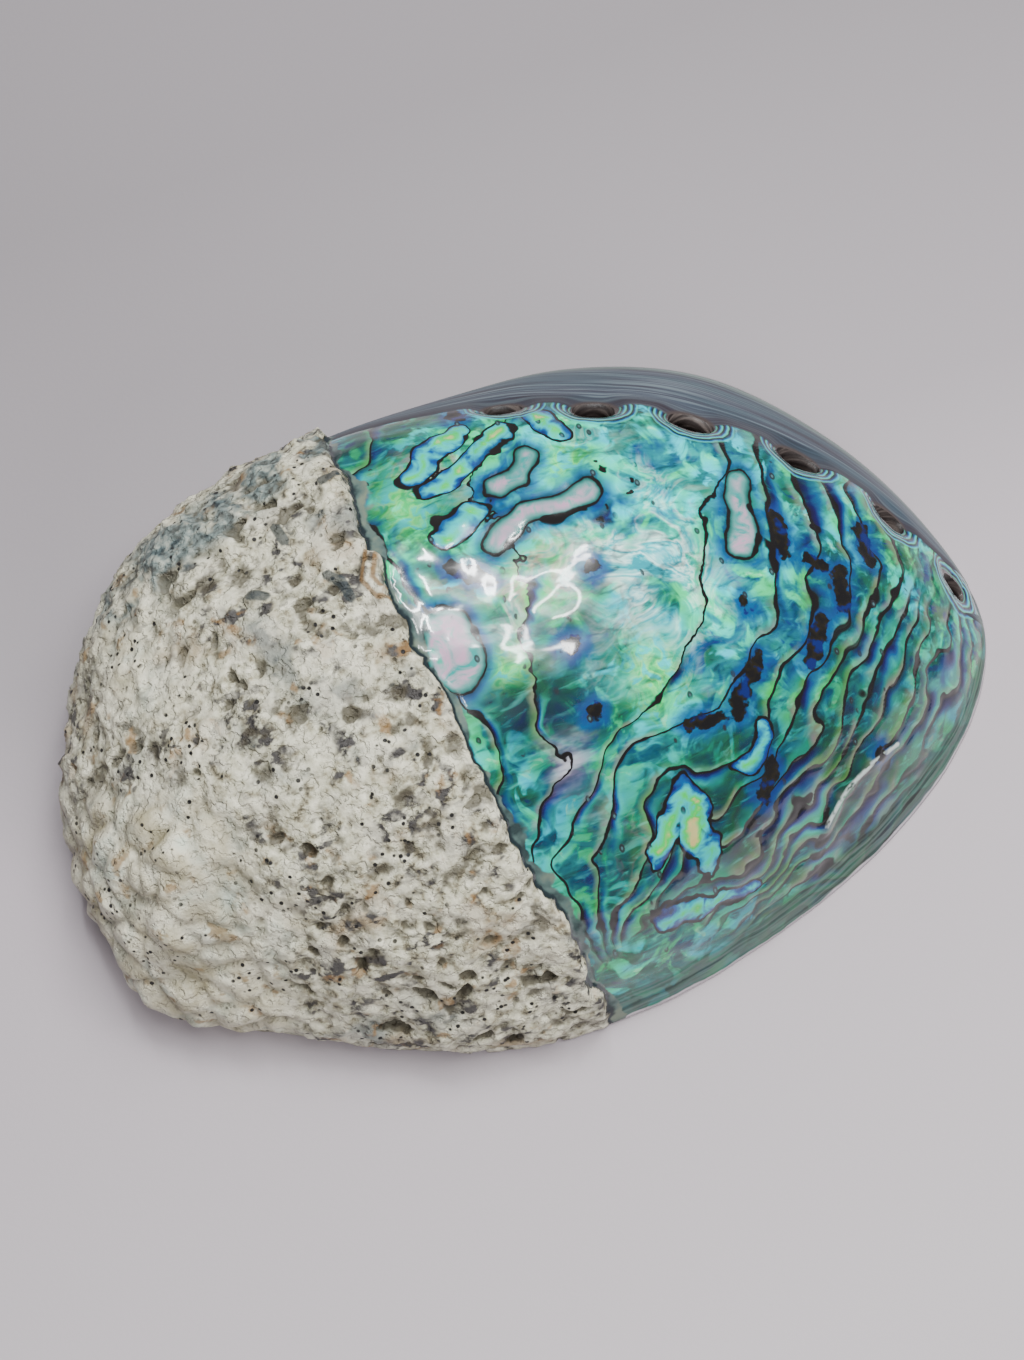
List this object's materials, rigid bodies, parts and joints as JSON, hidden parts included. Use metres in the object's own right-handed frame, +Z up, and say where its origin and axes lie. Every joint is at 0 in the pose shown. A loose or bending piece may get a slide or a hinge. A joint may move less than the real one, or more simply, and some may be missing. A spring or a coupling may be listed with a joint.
{
  "type": "abalone shell",
  "caption": "Ear-shaped abalone shell, half polished to bright nacre and half left in its chalky crust, with a low spire and a row of open breathing holes.",
  "frame": {"origin": "middle of the plan box, on the ground that the rim rests on", "axes": "+Z up from the open underside to the crown, +X along the length towards the growing edge, +Y towards the hole row"},
  "size_m": [0.1494, 0.107, 0.0416],
  "materials": {
    "shell": "polished nacre on the growing half, matt chalky crust on the spire half"
  },
  "bodies": {
    "root": {"abalone_shell": "shell"}
  },
  "joints": []
}
